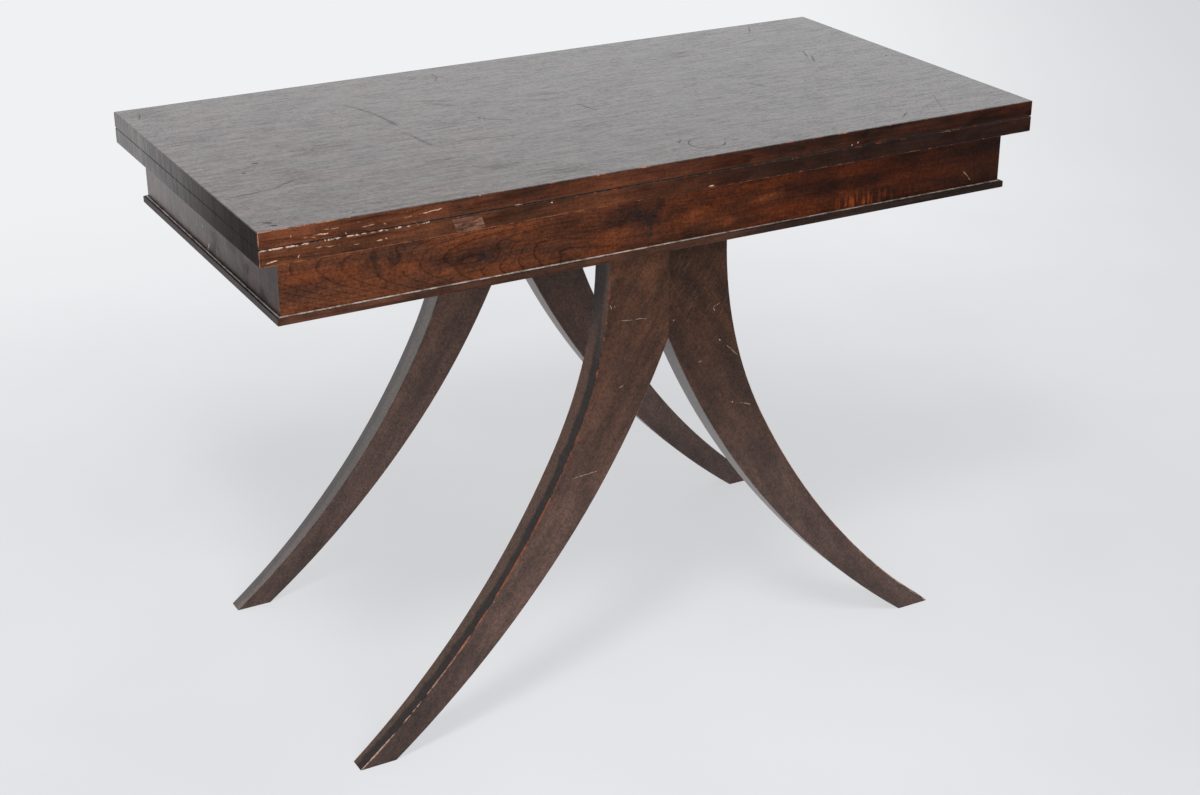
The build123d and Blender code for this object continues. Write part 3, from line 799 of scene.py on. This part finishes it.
def moulding_finish(name, light, dark, bead_highlight_tone, turn):
    """The finish of a moulding: dull below, polished on the bead, with a painted highlight there.
    """
    material, shader, where = new_finish(name, 0.45, coat_rough=0.16)
    vector = turned(where, "Z", 90) if turn else where
    across, _, height = split_up(where)
    if not turn:
        # painted falloff of light: the long mouldings and their bead highlight darken towards the
        # right
        moulding_light_falloff = ramp(across, -0.35, 0.4)
        light = blend(moulding_light_falloff, light, tone(56, 42, 36))
        dark = blend(moulding_light_falloff, dark, tone(38, 30, 27))
        bead_highlight_tone = blend(ramp(across, -0.1, 0.1), bead_highlight_tone, tone(150, 142, 136))
    wood = use_group(
        stain_group, Vector=vector, Pith=(0.0, 0.1, 0.5), Lean=0.01, Spacing=0.006, Wander=0.004,
        Light=light, Dark=dark, Ring_Depth=0.3, Fibre_Depth=0.45, Pore_Depth=0.3)
    bead = ramp(height, bead_foot, bead_foot + 0.0007)
    rub = ramp(noise(where, 70.0, 4.0, 0.7), 0.38, 0.6, 0.25, 1.0)
    patina = use_group(
        patina_group, Vector=where, Color=wood["Color"], Speckle=0.22, Mottle=0.3, Grime=0.5)
    bead = product(bead, rub)
    # painted highlight: the bead's colour turns pale where it is polished
    give(shader, Base_Color=blend(product(bead, 0.75), patina["Color"], bead_highlight_tone))
    give(shader, Coat_Weight=bead)
    emboss(shader, wood["Relief"], depth=0.05)
    return material


long_moulding = moulding_finish(
    "long moulding stain", tone(108, 70, 52), tone(74, 49, 39), tone(190, 182, 174), False)
end_moulding = moulding_finish(
    "end moulding stain", tone(74, 60, 54), tone(48, 39, 36), tone(120, 112, 106), True)
dress(long_moulding, "front_moulding", "back_moulding")
dress(end_moulding, "left_moulding", "right_moulding")

# %% [markdown]
# ## The sabre legs
# Each leg is sawn from a wide board. Next to the figured aprons they look plain: a brown mottle,
# redder at the hip and greyer towards the foot, with fine speckles. Light and shade are painted
# in too: each leg has its own painted brightness at the hip, the knee and the foot. The outer
# curved faces get a painted shade, nearly black on the front pair, and a painted pale
# reflection on the back pair. The broad faces inside the frame get a painted shade, and the
# inner curved faces keep their shine and get a painted grey reflection. To tell them apart, the
# material measures the distance to the arcs of the outline, which are the same for all four legs.

# %% The outline of a leg
hip, outer_bend, toe = (0.0833, 0.6172), (0.1430, 0.3648), (0.4410, 0.0)
crotch, inner_bend, heel = (0.0, 0.4982), (0.1474, 0.2431), (0.3910, 0.0)


def arc_through(start, direction, end):
    """The arc from start along direction to end: its middle, radius and last direction."""
    side = Vector((-direction[1], direction[0]))
    run = Vector(end) - Vector(start)
    reach = run.length_squared / (2 * run.dot(side))
    middle = Vector(start) + side * reach
    spoke = (Vector(end) - middle) / reach
    return middle, abs(reach), (spoke[1], -spoke[0])


upper_outer = arc_through(hip, (0, -1), outer_bend)
lower_outer = arc_through(outer_bend, upper_outer[2], toe)
crotch_lean = radians(22.5)
upper_inner = arc_through(crotch, (sin(crotch_lean), -cos(crotch_lean)), inner_bend)
lower_inner = arc_through(inner_bend, upper_inner[2], heel)
for label, arcs in (("outer", (upper_outer, lower_outer)), ("inner", (upper_inner, lower_inner))):
    print(label, "arcs, radius in mm:", [round(radius * 1000, 1) for _, radius, _ in arcs])


def gap_to_arcs(profile, height, upper, lower, bend_z):
    """The distance to one curved side of a leg, made of two arcs that meet at the height bend_z."""
    upper_gap, lower_gap = (
        apart(aim("DISTANCE", profile, (middle[0], 0.0, middle[1])), radius)
        for middle, radius, _ in (upper, lower)
    )
    above = ramp(height, bend_z - 0.001, bend_z + 0.001)
    return total(product(upper_gap, above), product(lower_gap, minus(1.0, above)))


# %% [markdown]
# The rub along the outer front arris starts at the knee and grows to the foot, where shoes
# touch it. The scratches are few, and each has its place in the photograph.

# %% Legs
leg_face, on_arc = (1, -239), (0.0002, 0.0008)


def leg_finish(name, side, front, light_levels, scratches=None, dots=None):
    """The finish of one leg. side is 1 on the right, front is -1 on the front pair, and
    light_levels are the painted light at the hip, the knee and the foot. Scratches and dots are a
    half width and then lines, as strokes takes them. The back legs have none."""
    material, shader, where = new_finish(name, 0.55, coat_rough=0.38)
    across, along_y, height = split_up(where)
    hand = new_hand(where)
    reddish = ramp(height, 0.15, 0.6)
    light = blend(reddish, tone(112, 85, 75), tone(100, 64, 45))
    dark = blend(reddish, tone(82, 63, 56), tone(67, 44, 33))
    wood = use_group(
        stain_group, Vector=turned(where, "Y", side * -58), Pith=(0.3 * side, front * 0.30, 0.1),
        Lean=0.03, Spacing=0.011, Wander=0.012, Light=light, Dark=dark, Ring_Depth=0.06,
        Fibre_Depth=0.2, Pore_Depth=0.25)
    profile = give(add_node("CombineXYZ"), X=absolute(across), Z=height)[0]
    outer = gap_to_arcs(profile, height, upper_outer, lower_outer, outer_bend[1])
    inner = gap_to_arcs(profile, height, upper_inner, lower_inner, inner_bend[1])
    outer_face, inner_face = fall(outer, *on_arc), fall(inner, *on_arc)
    depth_in = minus(-leg_face[1] / 1000, product(along_y, float(front)))
    uneven = scaled(noise(where, 30.0, 4.0), 0.012, depth_in)
    far_band = ramp(uneven, 0.018, 0.026)
    far_band = blend(ramp(height, 0.47, 0.56), far_band, ramp(uneven, 0.012, 0.022, 0.9, 0.1))
    # painted shade on the outer curved faces of the front pair, and a painted pale reflection of
    # the white backdrop on those of the back pair
    if front < 0:
        outer_shade_and_reflection = blend(
            far_band, tone(43, 37, 36), blend(reddish, tone(84, 66, 57), tone(87, 63, 52)))
    else:
        outer_shade_and_reflection = blend(far_band, tone(72, 64, 60), tone(96, 86, 80))
    # painted light: each leg's own brightness at the hip, the knee and the foot
    hip, knee, foot = light_levels
    level = ramp(height, 0.03, 0.2, foot, knee)
    level = ramp(height, 0.26, 0.46, level, hip)
    face = blend(1.0, wood["Color"], level, "MULTIPLY")
    # painted shade on the broad faces inside the frame, darkest near the top
    shade_inside_frame = product(ramp(depth_in, 0.019, 0.021), minus(1.0, largest(outer_face, inner_face)))
    face = blend(product(shade_inside_frame, ramp(height, 0.35, 0.55, 0.15, 0.75)), face, tone(60, 53, 52))
    # painted reflection: the inner curved faces are lightened grey
    face = blend(product(inner_face, 0.3), face, tone(112, 108, 106))
    colour = blend(outer_face, face, outer_shade_and_reflection)
    edge = largest(outer, depth_in)
    rub = use_group(
        wear_group, Vector=where, Distance=edge, Width=0.0015, Patch=40.0,
        Amount=ramp(height, 0.30, 0.47, 0.75, 0.25))
    rub_tone = blend(ramp(height, 0.02, 0.2), tone(168, 136, 118), tone(132, 72, 46))
    colour = blend(rub["Mask"], colour, rub_tone)
    slanted = noise(turned(where, "Y", 52), (45.0, 1.0, 600.0), 3.0, 0.7)
    cloth_marks = product(ramp(slanted, 0.55, 0.72), ramp(height, 0.40, 0.56, 0.04, 0.2))
    colour = blend(cloth_marks, colour, tone(140, 118, 102))
    if scratches:
        scratched = strokes(hand, leg_face, *scratches)
        colour = blend(product(scratched, 0.75), colour, tone(168, 140, 118))
        colour = blend(strokes(hand, leg_face, *dots), colour, tone(206, 190, 172))
    age(shader, where, colour, speckle=0.62, mottle=0.2, grime=0.3)
    shine = largest(inner_face, 0.4)
    shine = product(shine, minus(1.0, product(outer_face, 0.92 if front < 0 else -0.8)))
    give(shader, Coat_Weight=shine)
    emboss(shader, wood["Relief"], depth=0.06)
    return material


left_scratches = (
    0.8, ((-70, 534.6), (-50, 533.4), (-32, 531)), ((-144, 335), (-98, 338)),
    ((-172, 77), (-140, 102)), ((-91.4, 563), (-85.6, 565)), ((-84.3, 558.8), (-81, 553)),
    ((-70.5, 445.4), (-64, 447.5)))
right_scratches = (
    0.8, ((74.7, 532), (67.3, 529), (64.6, 526.5), (68, 522.8)), ((83, 474.5), (104, 454)),
    ((44.5, 457), (49.2, 457.7)), ((8, 545), (9, 543)), ((109, 386), (127, 380.3)))
left_dots = (1.4, ((-78, 555), (-77.6, 555)), ((-250, 190), (-250.4, 190)))
right_dots = (
    1.5, ((75.7, 481.6), (76.4, 480.6)), ((97.9, 389.8), (98.3, 389.8)), ((6.7, 521.4), (7, 521.4)))
for leg, side, front, light_levels, marks in (
    ("front_left_leg", -1, -1, (0.8, 0.84, 0.46), (left_scratches, left_dots)),
    ("front_right_leg", 1, -1, (0.5, 0.68, 0.6), (right_scratches, right_dots)),
    ("back_left_leg", -1, 1, (1.1, 1.0, 0.65), ()),
    ("back_right_leg", 1, 1, (0.85, 0.9, 0.8), ()),
):
    dress(leg_finish(leg.replace("_", " ") + " stain", side, front, light_levels, *marks), leg)

# %% [markdown]
# ## Wood that nobody was meant to see
# Under the top, the blocks and rails are plain softwood, left unstained and gone brown with age.
# The dowels are pale hardwood.

# %% Inner wood
def inner_finish(name, light, dark, spacing, turn):
    """Plain aged timber."""
    material, shader, where = new_finish(name, 0.75)
    vector = turned(where, "Z", 90) if turn else where
    wood = use_group(
        stain_group, Vector=vector, Pith=(0.0, 0.05, 0.6), Lean=0.03, Spacing=spacing, Wander=0.004,
        Light=light, Dark=dark, Ring_Depth=0.4, Fibre_Depth=0.3, Pore_Depth=0.1)
    give(shader, Base_Color=wood["Color"])
    emboss(shader, wood["Relief"], depth=0.15)
    return material


dress(
    inner_finish("aged softwood", tone(176, 136, 92), tone(140, 102, 66), 0.005, False),
    "front_left_corner_block", "front_right_corner_block", "back_left_corner_block",
    "back_right_corner_block")
dress(
    inner_finish("aged softwood rail", tone(168, 128, 86), tone(134, 98, 64), 0.006, True),
    "pivot_rail", "cross_rail")
dress(
    inner_finish("hardwood dowel", tone(186, 150, 108), tone(160, 122, 84), 0.003, False),
    "leg_dowels", "stop_peg")

# %% [markdown]
# ## Brass and iron
# The hinges are brass, gone brown in the corners and bright where the leaf rubs. The pivot is
# plain iron with a blue-black skin. The difference between them is in colour and in how the
# tarnish changes the roughness, so one function makes both. It can also draw the dark slots of
# the hinge screws, which stand in one row along the table, as a careful joiner leaves them.

# %% Metal
def metal_finish(name, bright, dull, smooth, rough=0.6, screws=None):
    """A metal with a cloudy tarnish. A row of screws gets slots along the row."""
    material, shader, where = new_finish(name, 0.4)
    tarnish = ramp(noise(where, 140.0, 5.0, 0.65), 0.35, 0.7)
    fine = noise(where, (200.0, 2500.0, 2500.0), 2.0)
    colour = blend(tarnish, bright, dull)
    if screws:
        screws_low, screws_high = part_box(screws)
        from_row = minus(split_up(where)[1], (screws_low.y + screws_high.y) / 2)
        slot = fall(absolute(from_row), 0.0003, 0.0005)
        colour = blend(slot, colour, tone(24, 19, 15))
    roughness = ramp(tarnish, 0.0, 1.0, smooth, rough)
    give(shader, Base_Color=colour, Roughness=roughness, Metallic=1.0)
    emboss(shader, fine, depth=0.02)
    return material


brass = metal_finish("old brass", tone(166, 134, 82), tone(100, 76, 46), smooth=0.34)
iron = metal_finish("blackened iron", tone(118, 116, 114), tone(66, 62, 60), smooth=0.38)
brass_screws = metal_finish(
    "old brass screws", tone(154, 124, 76), tone(94, 70, 42), smooth=0.34,
    screws="hinge_screws_lower")
hinge_pieces = [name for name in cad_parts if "hinge" in name and "screws" not in name]
iron_pieces = [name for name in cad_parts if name.startswith("pivot") and name != "pivot_rail"]
dress(brass, *sorted(hinge_pieces))
dress(brass_screws, "hinge_screws_lower", "hinge_screws_upper")
dress(iron, *sorted(iron_pieces), "leg_screws")

# %% [markdown]
# ## Floor and light
# The photograph was taken on white paper in a bright room. The floor is one large plane that
# melts into the pale background far away. One soft lamp hangs high at the front left and gives
# the shadows. A broad low one fills the aprons, and the rest of the light is the room itself.

# %% Floor
floor_width, floor_drop = 40, 0.0003
bpy.ops.mesh.primitive_plane_add(size=floor_width, location=(0, 0, -floor_drop))
floor = bpy.context.object
floor.name = "paper_floor"
paper = bpy.data.materials.new("white paper")
paper.use_nodes = True
bench["tree"] = paper.node_tree
paper_shader = paper.node_tree.nodes["Principled BSDF"]
give(paper_shader, Roughness=0.9, Specular_IOR_Level=0.0)
paper_where = add_node("TexCoord").outputs["Object"]
paper_rays = add_node("LightPath").outputs
front_edge = fall(split_up(paper_where)[1], -1.5, -0.9)
hidden = product(front_edge, minus(1.0, paper_rays["Is Camera Ray"]))
far_paper = tone(229, 230, 233)
paper_tone = blend(ramp(noise(paper_where, 1.2, 3.0), 0.3, 0.7), far_paper, tone(235, 236, 239))
floor_x, floor_y, _ = split_up(paper_where)
# painted light: the paper is brightened towards the back
paper_tone = blend(ramp(floor_y, 0.5, 2.5), paper_tone, tone(240, 241, 243))
# painted shadow: the paper is darkened towards the right, a broad soft shadow of the table
shadow_to_the_right = scaled(floor_y, -0.6, floor_x)
paper_tone = blend(ramp(shadow_to_the_right, 0.4, 2.2), paper_tone, tone(214, 215, 218))
from_table = aim("LENGTH", paper_where)
paper_tone = blend(ramp(from_table, 4.5, 12.0), paper_tone, far_paper)
paper_tone = blend(hidden, paper_tone, tone(60, 60, 62))
give(paper_shader, Base_Color=paper_tone)
glow = add_node("Emission")
give(glow, Color=paper_tone, Strength=1.0)
mix_shaders("Material Output", ramp(from_table, 0.6, 1.8, 0.68, 1.0), paper_shader, glow)
floor.data.materials.append(paper)

# %% Room light
world = bpy.data.worlds.new("pale room")
bpy.context.scene.world = world
world.use_nodes = True
bench["tree"] = world.node_tree
room_light = world.node_tree.nodes["Background"]
room_seen = add_node("Background")
rays = add_node("LightPath").outputs
seen = largest(rays["Is Camera Ray"], largest(rays["Is Glossy Ray"], rays["Is Transmission Ray"]))
give(room_light, Color=(1, 1, 1, 1), Strength=0.38)
_, facing, above = split_up(add_node("TexCoord").outputs["Generated"])
bright = largest(ramp(facing, -0.1, 0.4), ramp(above, 0.45, 0.8))
mirrored = blend(bright, (0.05, 0.05, 0.055, 1), (1.2, 1.21, 1.24, 1))
give(room_seen, Color=blend(rays["Is Camera Ray"], mirrored, far_paper), Strength=1.0)
mix_shaders("World Output", seen, room_light, room_seen)


def soft_lamp(name, place, target, size, power):
    """A large square lamp that looks at a point."""
    bpy.ops.object.light_add(type="AREA", location=place)
    lamp = bpy.context.object
    lamp.name = name
    lamp.data.size = size
    lamp.data.energy = power
    lamp.visible_glossy = False
    look = Vector(target) - Vector(place)
    lamp.rotation_euler = look.to_track_quat("-Z", "Y").to_euler()
    print(name, "at", place)


soft_lamp("front_left_lamp", (-1.2, -1.4, 2.85), target=(0, 0, 0.4), size=0.6, power=47)
soft_lamp("low_front_lamp", (-0.7, -2.5, 0.95), target=(0, -0.2, 0.45), size=1.4, power=25)
bpy.context.scene.view_settings.view_transform = "Standard"
